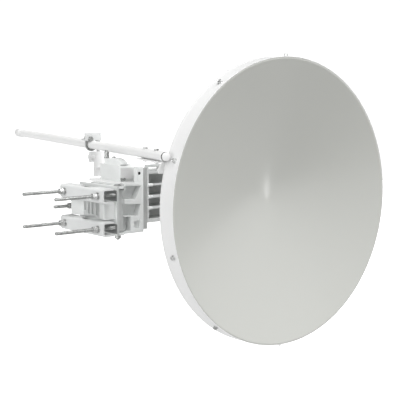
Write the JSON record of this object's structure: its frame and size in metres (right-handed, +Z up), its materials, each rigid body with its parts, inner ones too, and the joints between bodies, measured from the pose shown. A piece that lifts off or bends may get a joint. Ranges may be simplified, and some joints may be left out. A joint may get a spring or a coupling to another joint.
{
  "type": "dish antenna",
  "caption": "Round microwave dish with a concave face cover, carried beside a pole by a channel clamp, a pointing mount and a ribbed arm, with a side strut.",
  "frame": {"origin": "middle of the flat bottom of the groove that seats the pole", "axes": "+Z up along the pole, -Y the way the dish looks, -X out of the seat towards the pole"},
  "size_m": [0.795, 1.1585, 0.6626],
  "materials": {
    "white_paint": "smooth white powder coat",
    "face_cover": "matt light grey face cover",
    "painted_cast": "sand-cast aluminium under white powder coat",
    "bare_cast": "bare cast aluminium",
    "steel": "zinc-plated threaded steel",
    "painted_steel": "bent sheet and pipe under white powder coat"
  },
  "bodies": {
    "bracket": {"pole_seat": "painted_cast", "bracket_plate": "painted_cast", "clamp_rod_upper_front": "steel", "clamp_rod_upper_rear": "steel", "clamp_rod_lower_front": "steel", "clamp_rod_lower_rear": "steel", "azimuth_screw": "steel", "azimuth_screw_nut": "steel", "hinge_bolt": "steel"},
    "upper_clamp": {"upper_jaw": "painted_steel", "upper_jaw_nut_front": "steel", "upper_jaw_nut_rear": "steel"},
    "lower_clamp": {"lower_jaw": "painted_steel", "lower_jaw_nut_front": "steel", "lower_jaw_nut_rear": "steel"},
    "azimuth_head": {"azimuth_casting": "painted_cast", "azimuth_plate": "painted_steel", "elevation_block": "painted_cast", "elevation_screw": "steel"},
    "dish_head": {"elevation_plate": "bare_cast", "elevation_bolt": "steel", "ribbed_arm": "painted_cast", "feed_port": "steel", "hub_ring": "painted_cast", "reflector": "white_paint", "shroud_ring": "white_paint", "radome": "face_cover", "rim_screw_01": "steel", "rim_screw_02": "steel", "rim_screw_03": "steel", "rim_screw_04": "steel", "rim_screw_05": "steel", "rim_screw_06": "steel", "rim_screw_07": "steel", "rim_screw_08": "steel", "rim_screw_09": "steel", "rim_screw_10": "steel", "strut_end_bracket": "painted_steel", "strut_tube": "painted_steel", "strut_bolt_front": "steel", "strut_bolt_rear": "steel"},
    "tower_clamp": {"anchor_plate": "painted_steel", "strut_u_bolt": "steel", "lug_bolt": "steel"},
    "tower_end": {"tower_lug": "painted_steel"}
  },
  "joints": [
    {"name": "upper_jaw_slide", "type": "slide", "parent": "bracket", "child": "upper_clamp", "axis": [-1, 0, 0], "range_m": [0, 0.085]},
    {"name": "lower_jaw_slide", "type": "slide", "parent": "bracket", "child": "lower_clamp", "axis": [-1, 0, 0], "range_m": [0, 0.085]},
    {"name": "azimuth_turn", "type": "hinge", "parent": "bracket", "child": "azimuth_head", "pos_m": [0.0225, -0.058, 0], "axis": [0, 0, 1], "range_deg": [-5, 5]},
    {"name": "elevation_tilt", "type": "hinge", "parent": "azimuth_head", "child": "dish_head", "pos_m": [0.0862, 0, 0.0165], "axis": [1, 0, 0], "range_deg": [-12, 12]},
    {"name": "strut_clamp_slide", "type": "slide", "parent": "dish_head", "child": "tower_clamp", "axis": [0.2419, 0.9703, 0], "range_m": [-0.07, 0.55]},
    {"name": "tower_lug_swing", "type": "hinge", "parent": "tower_clamp", "child": "tower_end", "pos_m": [0.11741, 0.18731, 0.1019], "axis": [0.2419, 0.9703, 0], "range_deg": [-20, 35]}
  ]
}
